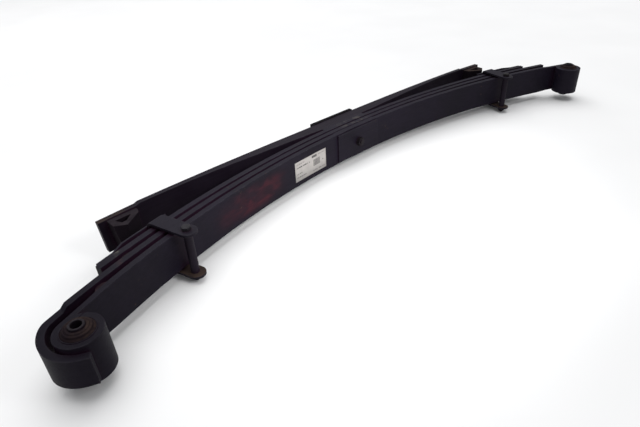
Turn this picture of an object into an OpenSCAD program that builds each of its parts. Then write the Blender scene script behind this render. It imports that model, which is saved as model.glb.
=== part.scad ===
// Semi-elliptic leaf spring for a light truck's rear axle, lying on its side.
// The width of the leaves runs along Z. X runs from the front eye to the rear eye.
// The convex side, which sits on the axle, faces +Y. The origin is where the axis of
// the centre bolt crosses the seat face of the axle pad, half way up the leaves.

/* [Leaves] */
// Width of every leaf
leaf_w = 76; // [60:1:90]
// Thickness of the three curved leaves
leaf_t = 12; // [10:0.5:14]
// Gap between two curved leaves at the centre bolt
leaf_gap = 5; // [4:0.5:8]
// Radius of the main leaf's hollow face
main_r = 1954; // [1900:1:2000]
// Radius of the second leaf's hollow face
second_r = 2058; // [2040:1:2080]
// Radius of the third leaf's hollow face
third_r = 2174; // [2150:1:2200]
// Distance of the second leaf's square tip from the centre
second_tip_x = 735; // [690:1:745]
// Distance of each of the third leaf's tips from the centre
third_tip_x = 685; // [660:1:690]

/* [Eyes] */
// Distance of each eye's axis from the centre
eye_x = 764; // [755:1:790]
// Inner radius of the rolled eyes
eye_r = 26; // [24:0.5:28]
// Thickness of the main leaf where it forms an eye
eye_t = 9; // [8:0.5:12]
// Width of the main leaf at its eyes
eye_w = 72; // [66:1:76]
// Distance from the centre at which the second leaf starts to wrap around the front eye
wrap_x = 784.5; // [782:0.5:786]
// Radius of the wrap's first bend, on its hollow face
wrap_bend_r = 25; // [22:1:30]
// Radius of the rest of the wrap, on its hollow face
wrap_r = 46.5; // [45:0.5:48]
// Thickness of the wrap
wrap_t = 11.5; // [9:0.5:12]
// Length of the straight lip that ends the wrap
wrap_lip = 14.5; // [5:0.5:20]

/* [Bushes] */
// Radius of the bolt hole through each inner sleeve
bush_bore_r = 8; // [6:0.1:8.5]
// Outer radius of the inner sleeve
sleeve_r = 11.5; // [11:0.5:14]
// How far the inner sleeve stands out on each side of the leaf
sleeve_proud = 9; // [5:0.5:12]
// Wall of the outer shell
shell_t = 2; // [1.5:0.5:2.5]

/* [Helper leaf] */
// Thickness in the clamped middle
helper_t = 33; // [28:1:38]
// Thickness at the ends of the taper
helper_end_t = 12; // [11:0.5:14]
// Distance from the centre at which each end becomes straight, and a little narrower
helper_step_x = 546; // [530:1:550]
// Width at the start of each narrow end
helper_step_w = 71; // [68:1:76]
// Width at each tip
helper_tip_w = 67; // [64:1:72]
// Distance of each tip from the centre
helper_tip_x = 632; // [628:1:640]
// Gap between the helper leaf and the third leaf at the centre bolt
helper_gap = 5; // [4:0.5:8]

/* [Centre clamp] */
// Length of the axle pad, the top plate and the spacers along the leaves
clamp_l = 142; // [120:1:160]
// Thickness of the axle pad
axle_pad_t = 10; // [8:0.5:14]
// Width of the axle pad
axle_pad_w = 80; // [76:1:84]
// Width of the top plate
plate_w = 70; // [64:1:76]
// Thickness of the top plate at its ends
top_plate_t = 4; // [3:0.5:8]
// Radius of the centre bolt
bolt_r = 6; // [5:0.5:7]
// Radius of the centre bolt's round locating head
head_r = 9.5; // [9:0.5:12]
// Height of the centre bolt's head
head_h = 9; // [6:0.5:12]

/* [Rebound clips] */
// Distance of each clip from the centre, where it crosses the third leaf
clip_x = 558; // [550:1:565]
// Width of the strap
strap_w = 33; // [28:1:36]
// Thickness of the strap
strap_t = 5; // [4:0.5:6]
// Gap between the leaf edges and the arms of the strap
arm_gap = 5; // [4:0.5:7]
// Distance of the clip bolt's axis from the main leaf
clip_bolt_gap = 20.5; // [20:0.5:28]
// Outer radius of the spacer tube
tube_r = 8; // [7:0.5:8.5]
// Radius of the clip bolt
clip_bolt_r = 5; // [4:0.5:5]

/* [Hidden] */

front = -1;
rear = 1;
steel = [0.17, 0.165, 0.18];
pad_steel = [0.13, 0.125, 0.13];
bright = [0.32, 0.31, 0.33];

function reversed(points) = [for (i = [len(points) - 1:-1:0]) points[i]];

// Faces of the stack on the centre bolt's axis, from the axle pad to the top plate.
// Each is the face nearer the axle.
helper_y = -axle_pad_t;
third_y = helper_y - helper_t - helper_gap;
second_y = third_y - leaf_t - leaf_gap;
main_y = second_y - leaf_t - leaf_gap;
plate_y = main_y - leaf_t;

// Centres of curvature, all on the centre bolt's axis.
main_cy = plate_y - main_r;
second_cy = second_y - leaf_t - second_r;
third_cy = third_y - leaf_t - third_r;

// Axis of the eyes: the main leaf's hollow face is tangent to the inside of each eye.
eye_angle = asin(eye_x / (main_r - eye_r));
eye_y = main_cy + (main_r - eye_r) * cos(eye_angle);

arm_z = leaf_w / 2 + arm_gap;
hole_gap = 0.4;

// Distance from the third leaf's centre of curvature to a circle about (0, cy),
// going out at an angle from the Y axis.
function ray(angle, cy, r) =
    let (c = cy - third_cy) c * cos(angle) + sqrt(r * r - pow(c * sin(angle), 2));

// Y of a circle about (0, cy) at a given x.
function arc_y(x, cy, r) = cy + sqrt(r * r - x * x);

// Points along a circle about (0, cy), from one angle to another.
function arc_span(cy, r, a0, a1, steps) =
    [for (i = [0:steps]) on_arc(a0 + (a1 - a0) * i / steps, cy, r)];

// Points along a circle about (0, cy), from one x to another.
function arc_points(cy, r, x0, x1, steps = 18) =
    [for (i = [0:steps]) let (x = x0 + (x1 - x0) * i / steps) [x, arc_y(x, cy, r)]];

// Point on a circle about (0, cy), at an angle from the Y axis.
function on_arc(angle, cy, r) = [r * sin(angle), cy + r * cos(angle)];

// Outer face of the third leaf, which the clips and the rub plates sit on.
third_back_r = third_r + leaf_t;
block_t = 3.5;
rub_t = 4;
web_in = third_back_r + block_t;
web_out = web_in + strap_t;
rub_in = web_out + 0.08;
clip_angle = asin(clip_x / third_back_r);
clip_bolt_y = ray(clip_angle, main_cy, main_r) - clip_bolt_gap;

// The helper leaf is flat in the middle, bends gently towards its ends, and tapers
// in a straight line. Its front half leans away from the other leaves, and its rear
// half towards them.
helper_bend = 11.4;
helper_lean = 0.0108;
bend_power = 2.4;
flat_to = 80;
taper_from = 90;
taper_to = 440;

// Y of the helper leaf's back face and of its hollow face.
function helper_back(x) =
    let (along = max(0, min(abs(x), helper_step_x) - flat_to) / (helper_step_x - flat_to))
    helper_y - helper_bend * pow(along, bend_power)
    - sign(x) * helper_lean * max(0, abs(x) - flat_to)
    - end_slope * max(0, abs(x) - helper_step_x);
function taper(x) = max(0, min(1, (taper_to - abs(x)) / (taper_to - taper_from)));
function helper_front(x) =
    helper_back(x) - helper_end_t - (helper_t - helper_end_t) * taper(x);
end_slope = helper_bend * bend_power / (helper_step_x - flat_to);

// ---- Shared shapes ----

// A leaf's outline whose ends are cut square to it, at two angles from the Y axis.
module square_cut_outline(cy, r, t, a0, a1) {
    intersection() {
        translate([0, cy]) difference() {
            circle(r = r + t, $fn = 1440);
            circle(r = r, $fn = 1440);
        }
        polygon([
            on_arc(a0, cy, r - 60), on_arc(a0, cy, r + 60), [0, cy + r + 120],
            on_arc(a1, cy, r + 60), on_arc(a1, cy, r - 60), [0, cy + r - 220],
        ]);
    }
}

module wide(w) {
    linear_extrude(height = w, center = true) children();
}

module full_width() {
    wide(leaf_w) children();
}

// What a leaf's two edges lose towards its end. Each point is a distance along X and
// half the width that is left there.
module edge_trim(points) {
    x0 = points[0][0];
    x1 = points[len(points) - 1][0];
    for (z = [-1, 1])
        rotate([90, 0, 0]) linear_extrude(height = 400) polygon(concat(
            [for (p = points) [p[0], z * p[1]]], [[x1, z * leaf_w], [x0, z * leaf_w]]
        ));
}

// Hole for the centre bolt.
module centre_hole() {
    translate([0, 40, 0]) rotate([90, 0, 0])
        cylinder(h = 260, r = bolt_r + hole_gap, $fn = 64);
}

module at_side(side) {
    mirror([side < 0 ? 1 : 0, 0, 0]) children();
}

// Puts a shape drawn about X = 0 at a clip, where Y is the distance from the
// third leaf's centre of curvature and +X points outboard.
module at_clip(side) {
    at_side(side) translate([0, third_cy, 0]) rotate([0, 0, -clip_angle]) children();
}

module hex_nut(af, h, bore_r) {
    difference() {
        cylinder(h = h, r = af / sqrt(3), $fn = 6);
        translate([0, 0, -1]) cylinder(h = h + 2, r = bore_r, $fn = 48);
    }
}

// Rivet along Y from y0 up to y1, with a low dome on each end.
module rivet(y0, y1, r) {
    dome_h = 0.5 * r;
    dome_r = 1.8 * r;
    sphere_r = (dome_r * dome_r + dome_h * dome_h) / (2 * dome_h);
    translate([0, y0, 0]) rotate([-90, 0, 0]) cylinder(h = y1 - y0, r = r, $fn = 48);
    for (end = [[y1, -90], [y0, 90]])
        translate([0, end[0], 0]) rotate([end[1], 0, 0]) rotate_extrude($fn = 48)
            intersection() {
                translate([0, dome_h - sphere_r]) circle(r = sphere_r, $fn = 96);
                square([dome_r, dome_h]);
            }
}

// ---- Leaves ----

// The part of the plane that the back of the leaf thins out of, towards one eye.
module thinning_outline() {
    from_x = 560;
    from_angle = asin(from_x / main_r);
    back_r = main_r + leaf_t;
    thin_r = 1565;
    difference() {
        polygon([
            on_arc(from_angle, main_cy, main_r), on_arc(from_angle, main_cy, back_r + 30),
            on_arc(eye_angle + 3, main_cy, back_r + 30), on_arc(eye_angle + 3, main_cy, main_r),
        ]);
        translate(on_arc(from_angle, main_cy, back_r - thin_r)) circle(r = thin_r, $fn = 1440);
    }
}

// One rolled eye: a ring with a slit where its end comes back to the leaf.
module eye_outline() {
    slit_w = 1;
    translate([eye_x, eye_y]) difference() {
        circle(r = eye_r + eye_t, $fn = 144);
        circle(r = eye_r, $fn = 144);
        rotate(-eye_angle) translate([-eye_r - eye_t - 1, eye_r - 8]) square([eye_t + 8, slit_w]);
    }
}

module main_outline() {
    difference() {
        square_cut_outline(main_cy, main_r, leaf_t, -eye_angle, eye_angle);
        for (side = [front, rear]) at_side(side) {
            translate([eye_x, eye_y]) circle(r = eye_r, $fn = 144);
            thinning_outline();
        }
    }
    for (side = [front, rear]) at_side(side) eye_outline();
}

module main_leaf() {
    color(steel) difference() {
        full_width() main_outline();
        centre_hole();
        for (side = [front, rear]) at_side(side)
            edge_trim([[700, leaf_w / 2], [735, eye_w / 2], [eye_x + 80, eye_w / 2]]);
    }
}

// The second leaf's front end wraps around the main leaf's eye: a tight bend, a wide
// one and a straight lip. A heading is the direction in which the leaf runs, from +X,
// and left() points from its hollow face towards the centre of the bend.
function left(heading) = [cos(heading + 90), sin(heading + 90)];

second_tip = asin(second_tip_x / second_r);
wrap_start = asin(wrap_x / second_r);
bend_heading = 231.5;
lip_heading = 333.5;
bend_c = on_arc(-wrap_start, second_cy, second_r) + wrap_bend_r * left(180 + wrap_start);
wrap_c = bend_c + (wrap_r - wrap_bend_r) * left(bend_heading);
lip = wrap_lip * [cos(lip_heading), sin(lip_heading)];

// Points along a bend's face, at a distance r from its centre.
function bend_points(c, r, from, to, steps) =
    [for (i = [0:steps]) c - r * left(from + (to - from) * i / steps)];

// One face of the second leaf, from its rear tip to the end of the lip. Its distance
// from the hollow face is t along the leaf and end_t around the wrap.
function second_face(t, end_t) = concat(
    arc_span(second_cy, second_r + t, second_tip, 1 - wrap_start, 90),
    bend_points(bend_c, wrap_bend_r + end_t, 180 + wrap_start, bend_heading - 2, 6),
    bend_points(wrap_c, wrap_r + end_t, bend_heading, lip_heading, 24),
    [wrap_c - (wrap_r + end_t) * left(lip_heading) + lip]
);

// What the second leaf's edges lose around the front eye: a short slope, and then a taper.
module wrap_trim() {
    top = 33;
    tip = 23.5;
    near = -225;
    far = -340;
    edge_trim([[757, leaf_w / 2], [765, top], [wrap_x + 90, top]]);
    for (z = [-1, 1])
        rotate([90, 0, 90]) linear_extrude(height = wrap_x + 90) polygon([
            [near, z * top], [far, z * tip], [far, z * leaf_w], [near, z * leaf_w],
        ]);
}

module second_leaf() {
    color(steel) difference() {
        full_width() polygon(concat(second_face(leaf_t, wrap_t), reversed(second_face(0, 0))));
        centre_hole();
        at_side(front) wrap_trim();
    }
}

module third_leaf() {
    tip_angle = asin(third_tip_x / third_r);
    color(steel) difference() {
        full_width() square_cut_outline(third_cy, third_r, leaf_t, -tip_angle, tip_angle);
        centre_hole();
        for (side = [front, rear]) at_clip(side) rivet_hole();
    }
}

// Places along one half of the helper leaf: its bend, and its straight end.
bend_steps = 14;
helper_xs = concat(
    [for (i = [0:bend_steps]) flat_to + (helper_step_x - flat_to) * i / bend_steps], [helper_tip_x]
);
helper_line = concat([for (x = reversed(helper_xs)) -x], helper_xs);

module helper_leaf() {
    color(steel) difference() {
        full_width() polygon(concat(
            [for (x = helper_line) [x, helper_back(x)]],
            [for (x = reversed(helper_line)) [x, helper_front(x)]]
        ));
        centre_hole();
        for (side = [front, rear]) {
            at_pad(side) pad_rivet_hole();
            at_side(side) edge_trim([
                [helper_step_x, leaf_w / 2], [helper_step_x + 6, helper_step_w / 2],
                [helper_tip_x, helper_tip_w / 2], [helper_tip_x + 20, helper_tip_w / 2],
            ]);
        }
        at_side(front) skew_cut(helper_tip_x, helper_tip_x - 5);
    }
}

// Takes off whatever is beyond a slanting line, given by its X at the upper and the
// lower edge of the leaves.
module skew_cut(upper, lower) {
    half = leaf_w / 2;
    translate([0, 60, 0]) rotate([90, 0, 0]) linear_extrude(height = 400)
        polygon([[upper, half], [lower, -half], [lower + 40, -half], [lower + 40, half]]);
}

// ---- Centre clamp ----

module axle_pad() {
    color(pad_steel) difference() {
        translate([-clamp_l / 2, -axle_pad_t, -axle_pad_w / 2])
            cube([clamp_l, axle_pad_t, axle_pad_w]);
        centre_hole();
    }
}

// Flat on the helper leaf, fitted to the third leaf.
module helper_spacer() {
    half = clamp_l / 2;
    front_y = helper_y - helper_t;
    color(steel) difference() {
        full_width() polygon(concat(
            arc_points(third_cy, third_back_r, -half, half),
            [[half, front_y], [-half, front_y]]
        ));
        centre_hole();
    }
}

// Fills the gap between two curved leaves, over a width w.
module leaf_spacer(w, inner_cy, inner_r, outer_cy, outer_r) {
    half = clamp_l / 2;
    slack = 0.03;
    color(steel) difference() {
        wide(w) polygon(concat(
            arc_points(inner_cy, inner_r, -half, half),
            arc_points(outer_cy, outer_r - slack, half, -half)
        ));
        centre_hole();
    }
}

module third_spacer() {
    leaf_spacer(leaf_w - 10, second_cy, second_r + leaf_t, third_cy, third_r);
}

module second_spacer() {
    leaf_spacer(leaf_w - 3, main_cy, main_r + leaf_t, second_cy, second_r);
}

// Flat outside, and fitted to the main leaf's hollow face.
module top_plate() {
    half = clamp_l / 2;
    color(steel) difference() {
        wide(plate_w) polygon(concat(
            arc_points(main_cy, main_r, -half, half),
            [[half, plate_face_y], [-half, plate_face_y]]
        ));
        centre_hole();
    }
}

plate_face_y = arc_y(clamp_l / 2, main_cy, main_r) - top_plate_t;
nut_h = 10;

module centre_bolt() {
    chamfer = 1.5;
    end_y = plate_face_y - nut_h - 3;
    color(bright) {
        translate([0, end_y, 0]) rotate([-90, 0, 0]) cylinder(h = -end_y, r = bolt_r, $fn = 64);
        rotate([-90, 0, 0]) {
            cylinder(h = head_h - chamfer, r = head_r, $fn = 64);
            translate([0, 0, head_h - chamfer])
                cylinder(h = chamfer, r1 = head_r, r2 = head_r - chamfer, $fn = 64);
        }
    }
}

module centre_nut() {
    color(bright) translate([0, plate_face_y, 0]) rotate([90, 0, 0]) hex_nut(19, nut_h, bolt_r);
}

// ---- Bushes ----

shell_proud = 1;
shell_in = eye_r - shell_t;
rubber_clear = 0.05;

module at_eye(side) {
    at_side(side) translate([eye_x, eye_y, 0]) children();
}

module tube(h, outer, inner) {
    difference() {
        cylinder(h = h, r = outer, center = true, $fn = 96);
        cylinder(h = h + 2, r = inner, center = true, $fn = 96);
    }
}

module shell(side) {
    color(bright) at_eye(side) tube(eye_w + 2 * shell_proud, eye_r, shell_in);
}

// Rubber with a raised, stepped disc around the inner sleeve at both ends.
module rubber(side) {
    in = sleeve_r + rubber_clear;
    rim = eye_w / 2 + 0.5;
    crown = leaf_w / 2 + 6;
    step = [[in, crown], [16.5, crown], [17.2, crown - 1.5], [20.2, crown - 2], [21, crown - 5], [shell_in, rim]];
    color([0.2, 0.16, 0.14]) at_eye(side) rotate_extrude($fn = 96)
        polygon(concat(step, reversed([for (p = step) [p[0], -p[1]]])));
}

module sleeve(side) {
    color(bright) at_eye(side) tube(leaf_w + 2 * sleeve_proud, sleeve_r, bush_bore_r);
}

module front_shell() shell(front);
module front_rubber() rubber(front);
module front_sleeve() sleeve(front);
module rear_shell() shell(rear);
module rear_rubber() rubber(rear);
module rear_sleeve() sleeve(rear);

// ---- Rebound clips ----

rivet_r = 5;

module rivet_hole() {
    translate([0, third_r - 5, 0]) rotate([-90, 0, 0]) cylinder(h = 60, r = rivet_r, $fn = 48);
}

strap_end_y = clip_bolt_y - 3.5;

// Side view of the strap: a back web with two arms, bent to a generous radius.
module strap_profile() {
    arm_end = strap_end_y - strap_w / 2;
    bend_r = 10;
    outer = arm_z + strap_t;
    difference() {
        union() {
            translate([arm_end, -outer]) square([web_out - bend_r - arm_end, 2 * outer]);
            translate([arm_end, -outer + bend_r]) square([web_out - arm_end, 2 * (outer - bend_r)]);
            for (z = [-1, 1]) translate([web_out - bend_r, z * (outer - bend_r)]) circle(r = bend_r, $fn = 96);
        }
        translate([arm_end - 1, -arm_z]) square([web_in - bend_r + strap_t - arm_end + 1, 2 * arm_z]);
        translate([arm_end - 1, -arm_z + bend_r - strap_t])
            square([web_in - arm_end + 1, 2 * (arm_z - bend_r + strap_t)]);
        for (z = [-1, 1])
            translate([web_out - bend_r, z * (outer - bend_r)]) circle(r = bend_r - strap_t, $fn = 96);
    }
}

// Top view of the strap: a round end just beyond the bolt, and a corner cut at the back.
module strap_plan() {
    cut = 4;
    half = strap_w / 2;
    translate([0, strap_end_y]) circle(r = half, $fn = 96);
    polygon([
        [-half, strap_end_y], [half, strap_end_y], [half, web_out + 1],
        [cut - half, web_out + 1], [-half, web_out - 14],
    ]);
}

module clip_strap(side) {
    color(steel) at_clip(side) difference() {
        intersection() {
            rotate([90, 0, 90]) linear_extrude(height = strap_w + 2, center = true) strap_profile();
            linear_extrude(height = 3 * arm_z, center = true) strap_plan();
        }
        translate([0, clip_bolt_y, 0])
            cylinder(h = 4 * arm_z, r = clip_bolt_r + hole_gap, center = true, $fn = 48);
        rivet_hole();
    }
}

clip_head_h = 7;
clip_nut_h = 8;
clip_af = 15.5;

module clip_bolt(side) {
    top = arm_z + strap_t;
    end = 4;
    color(bright) at_clip(side) translate([0, clip_bolt_y, 0]) {
        translate([0, 0, -top - clip_nut_h - end])
            cylinder(h = 2 * top + clip_nut_h + end, r = clip_bolt_r, $fn = 48);
        translate([0, 0, top]) cylinder(h = clip_head_h, r = clip_af / sqrt(3), $fn = 6);
    }
}

module clip_tube(side) {
    color(steel) at_clip(side) translate([0, clip_bolt_y, 0])
        tube(2 * arm_z, tube_r, clip_bolt_r + hole_gap);
}

module clip_nut(side) {
    color(bright) at_clip(side) translate([0, clip_bolt_y, -arm_z - strap_t - clip_nut_h])
        hex_nut(clip_af, clip_nut_h, clip_bolt_r);
}

// Spacer block between the third leaf and the clip's strap.
module clip_block(side) {
    inboard = asin((clip_x - 26) / third_back_r);
    outboard = asin((clip_x + 26) / third_back_r);
    block_w = 64;
    color([0.2, 0.19, 0.19]) at_side(side) difference() {
        linear_extrude(height = block_w, center = true)
            square_cut_outline(third_cy, third_back_r, block_t, inboard, outboard);
        at_clip(rear) rivet_hole();
    }
}

module clip_rivet(side) {
    color(bright) at_clip(side) rivet(third_r, rub_in + rub_t, rivet_r);
}

// Rub plate for the helper leaf's pad: on the strap's back and parallel to the third leaf,
// then bent down to lie on the leaf as far as its tip.
module rub_plate(side) {
    inboard = clip_x - 26;
    bend = 630;
    foot = 653;
    tip = third_tip_x - 0.5;
    outer = third_back_r + rub_t;
    slack = 0.03;
    color(steel) at_side(side) difference() {
        full_width() polygon(concat(
            arc_points(third_cy, rub_in, inboard, bend),
            arc_points(third_cy, third_back_r + slack, foot, tip, 6),
            arc_points(third_cy, outer + slack, tip + 1.2, foot + 1, 6),
            arc_points(third_cy, rub_in + rub_t, bend + 1, inboard)
        ));
        at_clip(rear) rivet_hole();
    }
}

module front_clip_strap() clip_strap(front);
module front_clip_bolt() clip_bolt(front);
module front_clip_tube() clip_tube(front);
module front_clip_nut() clip_nut(front);
module front_clip_block() clip_block(front);
module front_clip_rivet() clip_rivet(front);
module front_rub_plate() rub_plate(front);
module rear_clip_strap() clip_strap(rear);
module rear_clip_bolt() clip_bolt(rear);
module rear_clip_tube() clip_tube(rear);
module rear_clip_nut() clip_nut(rear);
module rear_clip_block() clip_block(rear);
module rear_clip_rivet() clip_rivet(rear);
module rear_rub_plate() rub_plate(rear);

// ---- Helper leaf's end pads ----

pad_w = 64;
pad_outline = [[0, 0], [68, 0], [67, 9], [63, 18.5], [28, 42.5], [0, 22.8]];
pad_floor = 12.5;
pad_hollow = [[18, pad_floor], [51, pad_floor], [34, 27], [25, 27.5]];
pad_rivet_r = 4;
pad_rivet_x = 31;

// Puts a shape at a tip, with its base along the helper leaf's hollow face:
// +X runs inboard from the tip, and +Y points away from the leaf.
module at_pad(side) {
    x = helper_tip_x - 9;
    slope = atan(end_slope + side * helper_lean);
    at_side(side) translate([x, helper_front(side * x), 0]) rotate([0, 0, 180 - slope]) children();
}

module pad_rivet_hole() {
    translate([pad_rivet_x, -20, 0]) rotate([-90, 0, 0]) cylinder(h = 35, r = pad_rivet_r, $fn = 48);
}

// A hollow wedge, highest near the tip of the leaf, with a slanting end.
module helper_pad(side) {
    color([0.3, 0.29, 0.3]) at_pad(side) difference() {
        linear_extrude(height = pad_w, center = true) difference() {
            polygon(pad_outline);
            polygon(pad_hollow);
        }
        pad_rivet_hole();
        mirror([1, 0, 0]) skew_cut(-7, -15);
    }
}

module pad_rivet(side) {
    color(bright) at_pad(side) translate([pad_rivet_x, 0, 0]) rivet(-helper_end_t, pad_floor, pad_rivet_r);
}

module front_helper_pad() helper_pad(front);
module rear_helper_pad() helper_pad(rear);
module front_pad_rivet() pad_rivet(front);
module rear_pad_rivet() pad_rivet(rear);

// ---- Tip liners ----

// A domed strip on the back of one leaf, which carries the tip of the next.
module liner(side, cy, r, next_cy, next_r, x) {
    liner_l = 30;
    liner_w = 66;
    angle = asin(x / r);
    gap = arc_y(x, next_cy, next_r) - arc_y(x, cy, r);
    rise = gap * cos(angle) - 0.2;
    dome_r = (pow(liner_l / 2, 2) + rise * rise) / (2 * rise);
    color([0.42, 0.33, 0.3]) wide(liner_w)
        at_side(side) translate(on_arc(angle, cy, r)) rotate(-angle) intersection() {
            translate([0, rise - dome_r]) circle(r = dome_r, $fn = 144);
            translate([-liner_l, 0]) square([2 * liner_l, 2 * rise]);
        }
}

module main_liner(side) liner(side, main_cy, main_r + leaf_t, second_cy, second_r, 700);
module second_liner(side) liner(side, second_cy, second_r + leaf_t, third_cy, third_r, 636);

module front_main_liner() main_liner(front);
module front_second_liner() second_liner(front);
module rear_main_liner() main_liner(rear);
module rear_second_liner() second_liner(rear);

// ---- Label ----

// A paper label on the main leaf's hollow face.
module label() {
    label_x = [-218, -114];
    label_z = [-26.5, 21.5];
    label_t = 0.4;
    color([0.95, 0.95, 0.94]) translate([0, 0, label_z[0]])
        linear_extrude(height = label_z[1] - label_z[0]) polygon(concat(
            arc_points(main_cy, main_r - label_t, label_x[0], label_x[1]),
            arc_points(main_cy, main_r, label_x[1], label_x[0])
        ));
}

main_leaf();
second_leaf();
third_leaf();
helper_leaf();
axle_pad();
helper_spacer();
third_spacer();
second_spacer();
top_plate();
centre_bolt();
centre_nut();
front_shell();
front_rubber();
front_sleeve();
rear_shell();
rear_rubber();
rear_sleeve();
front_clip_strap();
front_clip_bolt();
front_clip_tube();
front_clip_nut();
front_clip_block();
front_clip_rivet();
front_rub_plate();
rear_clip_strap();
rear_clip_bolt();
rear_clip_tube();
rear_clip_nut();
rear_clip_block();
rear_clip_rivet();
rear_rub_plate();
front_helper_pad();
front_pad_rivet();
rear_helper_pad();
rear_pad_rivet();
front_main_liner();
front_second_liner();
rear_main_liner();
rear_second_liner();
label();
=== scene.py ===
import math

import bmesh
import bpy
from mathutils import Euler, Matrix, Vector


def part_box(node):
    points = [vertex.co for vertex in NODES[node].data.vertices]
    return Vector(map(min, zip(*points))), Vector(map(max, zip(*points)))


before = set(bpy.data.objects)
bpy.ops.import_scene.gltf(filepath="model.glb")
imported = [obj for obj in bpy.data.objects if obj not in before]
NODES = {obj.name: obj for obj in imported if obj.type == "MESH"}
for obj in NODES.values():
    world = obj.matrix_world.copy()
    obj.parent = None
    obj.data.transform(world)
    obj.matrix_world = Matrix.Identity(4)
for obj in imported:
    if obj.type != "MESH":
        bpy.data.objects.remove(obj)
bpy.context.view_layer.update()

MM = 0.001
ENDS = ("front", "rear")

# Stretches along X, in metres, over which the painted light and shade change: darker paint and less dust
# towards the front tip as painted shade, paler paint towards the rear tip as painted light, and the painted
# shade in the gaps fading from the front half rearwards.
FRONT_TIP_SHADE = (-0.80, -0.60)
GAP_SHADE_REACH = (-0.60, -0.15)
REAR_TIP_LIGHT = (0.35, 0.72)

# Colours are linear RGB.
DUST = (0.053, 0.051, 0.064)
RUST = (0.060, 0.036, 0.024)
# Painted shade: the purple tone put in the gaps and corners of the painted steel.
SHADE = (0.032, 0.0095, 0.024)
RUBBED = (0.048, 0.045, 0.056)
CHALK = (0.057, 0.0100, 0.0165)
TAN = (0.046, 0.031, 0.025)
BROWN = (0.030, 0.018, 0.015)
PINK = (0.034, 0.017, 0.020)
PALE = (0.080, 0.073, 0.066)
LEAF_TONES = ((0.0061, 0.0045, 0.0091), (0.0107, 0.0081, 0.0152))

# Where the red chalk mark is on the main leaf: its middle and reach along X, and its half height.
CHALK_MIDDLE = -0.352
CHALK_REACH = 0.122
CHALK_HEIGHT = 0.036

# Rows of dashes on the sticker: start, end and height, as shares of its size, then strength.
PRINT_ROWS = (
    (0.05, 0.30, 0.86, 0.45),
    (0.74, 0.95, 0.88, 0.50),
    (0.05, 0.46, 0.69, 0.95),
    (0.05, 0.24, 0.37, 0.60),
    (0.05, 0.34, 0.19, 0.70),
    (0.55, 0.95, 0.13, 0.60),
    (0.87, 0.92, 0.50, 0.80),
)
ROW_HALF_HEIGHT = 0.035

FLOOR_REACH = 14.0
FLOOR_GAP = 0.5 * MM


# ---- Material helpers ----

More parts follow.
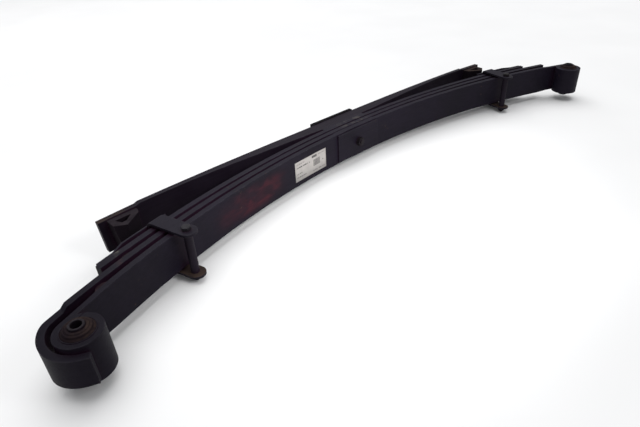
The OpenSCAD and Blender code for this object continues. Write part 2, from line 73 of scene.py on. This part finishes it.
class Paint:
    """One node material, with short calls for the nodes that the finishes share."""

    def __init__(self, name):
        self.material = bpy.data.materials.new(name)
        self.material.use_nodes = True
        self.tree = self.material.node_tree
        self.tree.nodes.clear()
        self.place = self.add("ShaderNodeTexCoord").outputs["Object"]

    def add(self, kind, inputs=None, **settings):
        node = self.tree.nodes.new(kind)
        for key, value in settings.items():
            setattr(node, key, value)
        for key, value in (inputs or {}).items():
            self.feed(node.inputs[key], value)
        return node

    def feed(self, socket, value):
        if isinstance(value, bpy.types.NodeSocket):
            self.tree.links.new(value, socket)
        else:
            socket.default_value = value

    def stretched(self, scale):
        return self.add("ShaderNodeMapping", {"Vector": self.place, "Scale": scale}).outputs["Vector"]

    def noise(self, scale, detail=3.0, roughness=0.5, place=None, distortion=0.0):
        node = self.add("ShaderNodeTexNoise", {
            "Vector": place or self.place, "Scale": scale, "Detail": detail,
            "Roughness": roughness, "Distortion": distortion,
        })
        return node.outputs["Fac"]

    def cells(self, scale):
        return self.add("ShaderNodeTexVoronoi", {"Vector": self.place, "Scale": scale}).outputs["Distance"]

    def span(self, value, low, high, to_low=0.0, to_high=1.0):
        """A smooth step: to_low where the value is low, to_high where it is high."""
        node = self.add("ShaderNodeMapRange", {
            "Value": value, "From Min": low, "From Max": high, "To Min": to_low, "To Max": to_high,
        }, interpolation_type="SMOOTHSTEP")
        return node.outputs["Result"]

    def math(self, operation, a, b=0.0, clamp=False):
        node = self.add("ShaderNodeMath", operation=operation, use_clamp=clamp)
        self.feed(node.inputs[0], a)
        self.feed(node.inputs[1], b)
        return node.outputs[0]

    def times(self, product, *factors):
        for factor in factors:
            product = self.math("MULTIPLY", product, factor)
        return product

    def plus(self, a, b):
        """A sum held between 0 and 1."""
        return self.math("ADD", a, b, clamp=True)

    def blend(self, a, b, share):
        """A weighted mean of two values, with b's share."""
        return self.math("ADD", self.times(a, 1 - share), self.times(b, share))

    def away(self, value, middle):
        return self.math("ABSOLUTE", self.math("SUBTRACT", value, middle))

    def mix(self, factor, a, b):
        node = self.add("ShaderNodeMix", data_type="RGBA")
        self.feed(node.inputs["Factor"], factor)
        self.feed(node.inputs["A"], a if isinstance(a, bpy.types.NodeSocket) else (*a, 1))
        self.feed(node.inputs["B"], b if isinstance(b, bpy.types.NodeSocket) else (*b, 1))
        return node.outputs["Result"]

    def scaled(self, colour, factor):
        node = self.add("ShaderNodeVectorMath", operation="SCALE")
        self.feed(node.inputs[0], colour)
        self.feed(node.inputs["Scale"], factor)
        return node.outputs["Vector"]

    def axis(self, axis):
        """The place along X, Y or Z, in metres."""
        return self.add("ShaderNodeSeparateXYZ", {"Vector": self.place}).outputs[axis]

    def facing(self, axis):
        """How far the surface faces along X, Y or Z, from -1 to 1."""
        normal = self.add("ShaderNodeNewGeometry").outputs["Normal"]
        return self.add("ShaderNodeSeparateXYZ", {"Vector": normal}).outputs[axis]

    def edges(self, radius):
        """1 along worn edges and corners, 0 on flat faces."""
        rounded = self.add("ShaderNodeBevel", {"Radius": radius}, samples=4).outputs["Normal"]
        true = self.add("ShaderNodeNewGeometry").outputs["Normal"]
        dot = self.add("ShaderNodeVectorMath", operation="DOT_PRODUCT")
        self.feed(dot.inputs[0], rounded)
        self.feed(dot.inputs[1], true)
        return self.span(dot.outputs["Value"], 0.995, 0.86)

    def shaded_hollows(self, distance):
        """1 in gaps and corners, where the colour of shade is painted, 0 in the open."""
        open_air = self.add("ShaderNodeAmbientOcclusion", {"Distance": distance}, samples=6).outputs["AO"]
        return self.span(open_air, 0.85, 0.25)

    def bump(self, height, depth, base=None):
        node = self.add("ShaderNodeBump", {"Height": height, "Distance": depth, "Strength": 1.0})
        if base is not None:
            self.feed(node.inputs["Normal"], base)
        return node.outputs["Normal"]

    def finish(self, colour, roughness, normal=None, metallic=0.0, specular=0.3):
        shader = self.add("ShaderNodeBsdfPrincipled", {
            "Base Color": colour, "Roughness": roughness, "Metallic": metallic,
            "Specular IOR Level": specular,
        })
        if normal is not None:
            self.feed(shader.inputs["Normal"], normal)
        out = self.add("ShaderNodeOutputMaterial")
        self.tree.links.new(shader.outputs["BSDF"], out.inputs["Surface"])
        return self.material


# ---- Marks: masks that painted steel lays over its paint ----

def chalk_smudge(p):
    """A wiped red chalk mark on the hollow face of the main leaf, with no letters in it."""
    inside = p.times(
        p.span(p.away(p.axis("X"), CHALK_MIDDLE), CHALK_REACH, 0.3 * CHALK_REACH),
        p.span(p.math("ABSOLUTE", p.axis("Z")), CHALK_HEIGHT, CHALK_HEIGHT / 3))
    slanted = p.add("ShaderNodeMapping", {
        "Vector": p.place, "Rotation": (0, math.radians(28), 0), "Scale": (16, 1, 46),
    }).outputs["Vector"]
    wiped = p.span(p.noise(1.0, 3.0, 0.55, slanted, 0.8), 0.44, 0.66)
    haze = p.span(p.noise(22.0, 2.0), 0.35, 0.70, 0.16, 0.38)
    hollow_side = p.span(p.facing("Y"), -0.4, -0.8)
    return p.times(inside, p.plus(p.times(wiped, 0.62), haze), hollow_side, 0.80)


def rusty_ledge(p):
    """Brown dirt that has gathered on the clips' lower arms."""
    low = p.span(p.axis("Z"), -0.030, -0.040)
    level = p.span(p.facing("Z"), 0.55, 0.95)
    gathered = p.span(p.noise(55.0, 4.0, 0.6), 0.25, 0.55, 0.45, 1.0)
    return p.times(low, level, gathered)


def rusty_tips(p):
    """Brown rust on the top edges of the helper leaf, near its ends."""
    level = p.span(p.facing("Z"), 0.30, 0.90)
    near_end = p.span(p.math("ABSOLUTE", p.axis("X")), 0.55, 0.60)
    gathered = p.span(p.noise(48.0, 4.0, 0.6), 0.30, 0.60, 0.10, 0.75)
    return p.times(level, near_end, gathered)


def top_edge_patch(middle, reach, share, grain=70.0):
    """A blotch on a leaf's top edge: its middle and reach along X, and how strong it is."""
    def mask(p):
        level = p.span(p.facing("Z"), 0.55, 0.95)
        near = p.span(p.away(p.axis("X"), middle), reach, 0.2 * reach, 0.0, share)
        return p.times(level, near, p.span(p.noise(grain, 3.0, 0.6), 0.44, 0.60))
    return mask


# ---- Materials ----

def painted_steel(name, dark, light, *marks, dust=0.16, specular=0.07):
    """Satin paint over rolled steel: mottled, streaked along X, dusty on top, rubbed at its edges, with
    painted shade in its gaps.
    It is darker, with less dust, at the front tip as painted shade, and paler at the rear one as painted
    light; its sheen follows the same change. Each mark is a colour and its mask."""
    p = Paint(name)
    along = p.axis("X")
    patches = p.noise(9.0, 4.0, 0.6)
    streaks = p.noise(1.0, 5.0, 0.65, p.stretched((7, 260, 260)))
    grain = p.noise(900.0, 3.0, 0.6)
    pits = p.cells(420.0)
    colour = p.mix(p.span(p.blend(patches, streaks, 0.4), 0.36, 0.66), dark, light)

    # Dust on up-facing faces, thinned towards the front tip as painted shade.
    top = p.times(p.span(p.facing("Z"), 0.25, 0.95), p.span(along, *FRONT_TIP_SHADE, 0.35, 1.0))
    settled_dust_and_shade = p.times(top, p.span(p.noise(34.0, 5.0, 0.7), 0.30, 0.75, 0.35, 1.0))
    colour = p.mix(p.times(settled_dust_and_shade, dust), colour, DUST)

    rubbed = p.times(p.edges(0.0035), p.span(p.noise(60.0, 4.0, 0.7), 0.38, 0.70))
    colour = p.mix(p.times(rubbed, 0.50), colour, RUBBED)

    specks = p.span(p.noise(140.0, 4.0, 0.6), 0.64, 0.72)
    spots = p.times(specks, p.span(p.noise(12.0, 2.0), 0.50, 0.64))
    colour = p.mix(p.times(spots, 0.7), colour, RUST)

    # Painted shade: gaps and corners take the purple shade colour, most strongly in the front half.
    painted_gap_shade = p.times(p.shaded_hollows(0.020), p.span(along, *GAP_SHADE_REACH, 0.75, 0.30))
    colour = p.mix(painted_gap_shade, colour, SHADE)

    # Painted light and shade along X: darker paint and weaker sheen towards the front tip, paler paint and
    # stronger sheen towards the rear tip.
    painted_light_and_shade = p.times(p.span(along, *FRONT_TIP_SHADE, 0.74, 1.0), p.span(along, *REAR_TIP_LIGHT, 1.0, 1.16))
    colour = p.scaled(colour, painted_light_and_shade)
    for mark_colour, mask in marks:
        colour = p.mix(mask(p), colour, mark_colour)

    rough = p.span(p.blend(patches, grain, 0.5), 0.3, 0.7, 0.42, 0.62)
    rough = p.plus(rough, p.times(settled_dust_and_shade, 0.12))
    normal = p.bump(streaks, 0.00020)
    normal = p.bump(grain, 0.00006, normal)
    normal = p.bump(p.span(pits, 0.0, 0.35), 0.00005, normal)
    return p.finish(colour, rough, normal, specular=p.times(painted_light_and_shade, specular))


def bare_steel(name, dark, light, film, film_share, worn):
    """Dull machined or plated steel under a brown film, with a worn brightness at its edges and painted shade
    in its hollows.
    """
    p = Paint(name)
    turned = p.noise(1.0, 4.0, 0.6, p.stretched((120, 120, 900)))
    patches = p.noise(70.0, 4.0, 0.65)
    colour = p.mix(p.span(turned, 0.35, 0.65), dark, light)
    colour = p.mix(p.times(p.span(patches, 0.36, 0.66), film_share), colour, film)
    # Painted shade: hollows and the sleeve's bore take a dark purple colour.
    colour = p.mix(p.times(p.shaded_hollows(0.006), 0.75), colour, (0.024, 0.012, 0.021))
    bright = p.times(p.edges(0.0015), p.span(p.noise(150.0), 0.40, 0.65))
    colour = p.mix(p.times(bright, 0.5), colour, (worn, 0.94 * worn, worn))
    rough = p.span(patches, 0.3, 0.7, 0.38, 0.66)
    normal = p.bump(p.noise(600.0), 0.00004, p.bump(turned, 0.00008))
    return p.finish(colour, rough, normal, metallic=0.25, specular=0.12)


def rubber(name, dark, dust, share, side_share=0.35, clean=(-3, -2)):
    """Matt moulded rubber, dry and dusty, most of all on top, with painted shade darkening its creases.
    The dust sets in between the two places along X that clean gives."""
    p = Paint(name)
    cloud = p.noise(55.0, 5.0, 0.7)
    skin = p.noise(1400.0, 3.0, 0.7)
    top = p.times(p.span(p.facing("Z"), 0.15, 0.9, side_share, 1.0), p.span(p.axis("X"), *clean, 0.25, 1.0))
    dusty = p.times(p.span(cloud, 0.30, 0.66), top, share)
    colour = p.mix(dusty, dark, dust)
    # Painted shade: creases and corners are darkened.
    colour = p.mix(p.times(p.shaded_hollows(0.008), 0.75), colour, (0.011, 0.006, 0.009))
    rough = p.span(cloud, 0.3, 0.7, 0.72, 0.92)
    normal = p.bump(skin, 0.00006, p.bump(cloud, 0.00025))
    return p.finish(colour, rough, normal, specular=0.06)


def paper(name, low, high):
    """A pale sticker with a plain block, some bars and rows of dashes, and no writing."""
    p = Paint(name)
    u = p.math("DIVIDE", p.math("SUBTRACT", p.axis("X"), low.x), high.x - low.x)
    v = p.math("DIVIDE", p.math("SUBTRACT", p.axis("Z"), low.z), high.z - low.z)

    def between(value, start, end):
        return p.times(p.math("GREATER_THAN", value, start), p.math("LESS_THAN", value, end))

    def block(u0, u1, v0, v1):
        return p.times(between(u, u0, u1), between(v, v0, v1))

    def stripes(density):
        """Upright stripes of uneven width."""
        return p.math("GREATER_THAN", p.noise(1.0, 0.0, 0.5, p.stretched((density, 1, 0))), 0.46)

    dashes, bars = stripes(420), stripes(1500)
    ink = p.times(block(0.54, 0.70, 0.81, 0.93), 0.85)
    ink = p.math("ADD", ink, p.times(bars, block(0.57, 0.80, 0.36, 0.70), 0.80))
    for start, end, height, strength in PRINT_ROWS:
        row = block(start, end, height - ROW_HALF_HEIGHT, height + ROW_HALF_HEIGHT)
        ink = p.plus(ink, p.times(dashes, row, strength))
    aged = p.mix(p.span(p.noise(60.0, 4.0), 0.35, 0.70), (0.385, 0.362, 0.345), (0.335, 0.315, 0.300))
    colour = p.mix(ink, aged, (0.030, 0.028, 0.030))
    normal = p.bump(p.noise(220.0, 3.0), 0.00004)
    return p.finish(colour, p.span(p.noise(90.0), 0.3, 0.7, 0.50, 0.64), normal, specular=0.4)


def studio_floor():
    p = Paint("floor_paper")
    tone = p.mix(p.span(p.noise(3.0, 2.0), 0.3, 0.7), (0.86, 0.86, 0.86), (0.88, 0.88, 0.88))
    return p.finish(tone, 0.9, specular=0.1)


CLAMP_DUST = (PALE, top_edge_patch(0.015, 0.060, 0.55))

FINISHES = {
    "leaf": painted_steel("leaf_paint", *LEAF_TONES),
    "main_leaf": painted_steel("main_leaf_paint", *LEAF_TONES, (CHALK, chalk_smudge)),
    "second_leaf": painted_steel(
        "second_leaf_paint", *LEAF_TONES, CLAMP_DUST, (PINK, top_edge_patch(-0.645, 0.022, 0.9, 30.0))),
    "third_leaf": painted_steel(
        "third_leaf_paint", *LEAF_TONES, CLAMP_DUST, (PALE, top_edge_patch(-0.648, 0.009, 1.0, 40.0))),
    "helper_leaf": painted_steel(
        "helper_paint", (0.0074, 0.0044, 0.0089), (0.0115, 0.0078, 0.0138), (BROWN, rusty_tips)),
    "strap": painted_steel(
        "strap_paint", (0.0067, 0.0052, 0.0093), (0.0113, 0.0090, 0.0153), (TAN, rusty_ledge)),
    "plate": painted_steel("plate_paint", (0.0064, 0.0048, 0.0091), (0.0109, 0.0084, 0.0150)),
    "tube": painted_steel("tube_paint", (0.0080, 0.0054, 0.0096), (0.0138, 0.0100, 0.0166)),
    "seat": painted_steel(
        "seat_paint", (0.0030, 0.0027, 0.0033), (0.0060, 0.0052, 0.0064), dust=0.03, specular=0.02),
    "bolt": bare_steel(
        "bolt_metal", (0.006, 0.005, 0.0065), (0.012, 0.010, 0.013), (0.014, 0.009, 0.009), 0.50, 0.040),
    "front_bolt": bare_steel(
        "front_bolt_metal", (0.011, 0.010, 0.013), (0.019, 0.017, 0.022), (0.014, 0.010, 0.012), 0.35, 0.036),
    "sleeve": bare_steel(
        "sleeve_metal", (0.0065, 0.0046, 0.0078), (0.0135, 0.0105, 0.0155),
        (0.014, 0.009, 0.010), 0.45, 0.028),
    "rubber": rubber(
        "bush_rubber", (0.0085, 0.0050, 0.0075), (0.034, 0.022, 0.018), 0.85, clean=(-0.785, -0.755)),
    "pad": rubber("pad_rubber", (0.0070, 0.0042, 0.0073), (0.0250, 0.0200, 0.0240), 0.85, 0.12),
    "rear_pad": rubber("rear_pad_rubber", (0.0065, 0.0040, 0.0066), (0.040, 0.027, 0.022), 0.90, 0.03),
    # Painted shade: the liners' tops stand level with the leaves' top edges, and their dark tone stands for
    # the shade that recessed tops would lie in.
    "liner": rubber("liner_plastic", (0.010, 0.005, 0.007), (0.024, 0.014, 0.018), 0.80),
    "paper": paper("label_paper", *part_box("label")),
}


# ---- CAD nodes: each one's finish and the radius of its edges in millimetres ----

LEAF_EDGE = 2.6
MIDDLE_PIECES = {
    "axle_pad": ("seat", 1.2),
    "top_plate": ("plate", 1.2),
    "helper_spacer": ("plate", 0.8),
    "third_spacer": ("plate", 0.8),
    "second_spacer": ("plate", 0.8),
    "centre_bolt": ("bolt", 0.5),
    "centre_nut": ("bolt", 0.7),
    "label": ("paper", 0),
}
END_PIECES = {
    "shell": ("plate", 0.5),
    "rubber": ("rubber", 1.2),
    "sleeve": ("sleeve", 0.8),
    "clip_strap": ("strap", 1.2),
    "clip_bolt": ("bolt", 0.6),
    "clip_tube": ("tube", 0.6),
    "clip_nut": ("bolt", 0.6),
    "clip_block": ("plate", 1.2),
    "clip_rivet": ("bolt", 0.3),
    "rub_plate": ("leaf", 1.0),
    "helper_pad": ("pad", 1.6),
    "pad_rivet": ("bolt", 0.3),
    "main_liner": ("liner", 0.6),
    "second_liner": ("liner", 0.6),
}
OWN_FINISH = {"front_clip_bolt": "front_bolt", "rear_helper_pad": "rear_pad"}


def wear(name, finish, edge, segments=3):
    """Gives a CAD node its finish, and rounds its edges unless the radius is 0."""
    node = NODES[name]
    node.data.materials.clear()
    node.data.materials.append(FINISHES[finish])
    if node.data.attributes.get("custom_normal"):
        node.data.attributes.remove(node.data.attributes["custom_normal"])
    node.data.shade_smooth()
    weld = node.modifiers.new("weld", "WELD")
    weld.merge_threshold = 0.01 * MM
    flat = node.modifiers.new("flat_faces", "DECIMATE")
    flat.decimate_type = "DISSOLVE"
    flat.angle_limit = math.radians(0.03)
    if edge:
        bevel = node.modifiers.new("round_edges", "BEVEL")
        bevel.limit_method = "ANGLE"
        bevel.angle_limit = math.radians(32)
        bevel.width = edge * MM
        bevel.segments = segments
        bevel.use_clamp_overlap = True
        bevel.harden_normals = True


for name in ("main_leaf", "second_leaf", "third_leaf", "helper_leaf"):
    wear(name, name, LEAF_EDGE, segments=4)
for name, (finish, edge) in MIDDLE_PIECES.items():
    wear(name, finish, edge)
for end in ENDS:
    for piece, (finish, edge) in END_PIECES.items():
        name = end + "_" + piece
        wear(name, OWN_FINISH.get(name, finish), edge)


# ---- Floor, light and camera ----

def floor():
    lowest = min(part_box(name)[0].z for name in NODES)
    mesh = bpy.data.meshes.new("floor")
    form = bmesh.new()
    bmesh.ops.create_grid(form, x_segments=8, y_segments=8, size=FLOOR_REACH)
    form.to_mesh(mesh)
    form.free()
    mesh.materials.append(studio_floor())
    plane = bpy.data.objects.new("floor", mesh)
    plane.location.z = lowest - FLOOR_GAP
    bpy.context.scene.collection.objects.link(plane)


def softbox(name, place, target, size, power, spread=180):
    lamp = bpy.data.lights.new(name, "AREA")
    lamp.shape = "RECTANGLE"
    lamp.size, lamp.size_y = size
    lamp.energy = power
    lamp.spread = math.radians(spread)
    box = bpy.data.objects.new(name, lamp)
    box.location = place
    box.rotation_euler = (Vector(target) - Vector(place)).to_track_quat("-Z", "Y").to_euler()
    box.visible_camera = False
    bpy.context.scene.collection.objects.link(box)


def studio():
    """A pale surround, a very soft light from overhead, and two weak softboxes."""
    world = bpy.data.worlds.new("studio")
    world.use_nodes = True
    background = world.node_tree.nodes["Background"]
    background.inputs["Color"].default_value = (0.97, 0.98, 1.0, 1)
    background.inputs["Strength"].default_value = 0.44
    bpy.context.scene.world = world

    sun = bpy.data.lights.new("overhead", "SUN")
    sun.energy = 2.05
    sun.angle = math.radians(70)
    lamp = bpy.data.objects.new("overhead", sun)
    lamp.rotation_euler = Euler((math.radians(-14), math.radians(8), 0))
    bpy.context.scene.collection.objects.link(lamp)

    softbox("rim", (0.6, 2.4, 1.9), target=(0, -0.1, 0), size=(2.6, 1.4), power=8)
    softbox("middle", (-0.18, -0.85, 0.55), target=(-0.16, -0.1, 0), size=(0.5, 0.3), power=1.6, spread=85)


def camera():
    """The viewing angle: low over the front eye, looking along the spring."""
    heading, tilt, roll = math.radians(42.44), math.radians(32.51), math.radians(-2.945)
    data = bpy.data.cameras.new("camera")
    data.lens = 28.23
    data.sensor_width = 36.0
    data.clip_start, data.clip_end = 0.02, 60.0
    eye = bpy.data.objects.new("camera", data)
    turn = Matrix.Rotation(-heading, 4, "Z") @ Matrix.Rotation(math.pi / 2 - tilt, 4, "X")
    eye.matrix_world = Matrix.Translation((-0.8528, -0.8749, 0.5231)) @ turn @ Matrix.Rotation(roll, 4, "Z")
    bpy.context.scene.collection.objects.link(eye)
    bpy.context.scene.camera = eye


floor()
studio()
camera()
bpy.context.scene.view_settings.view_transform = "Standard"
bpy.context.view_layer.update()
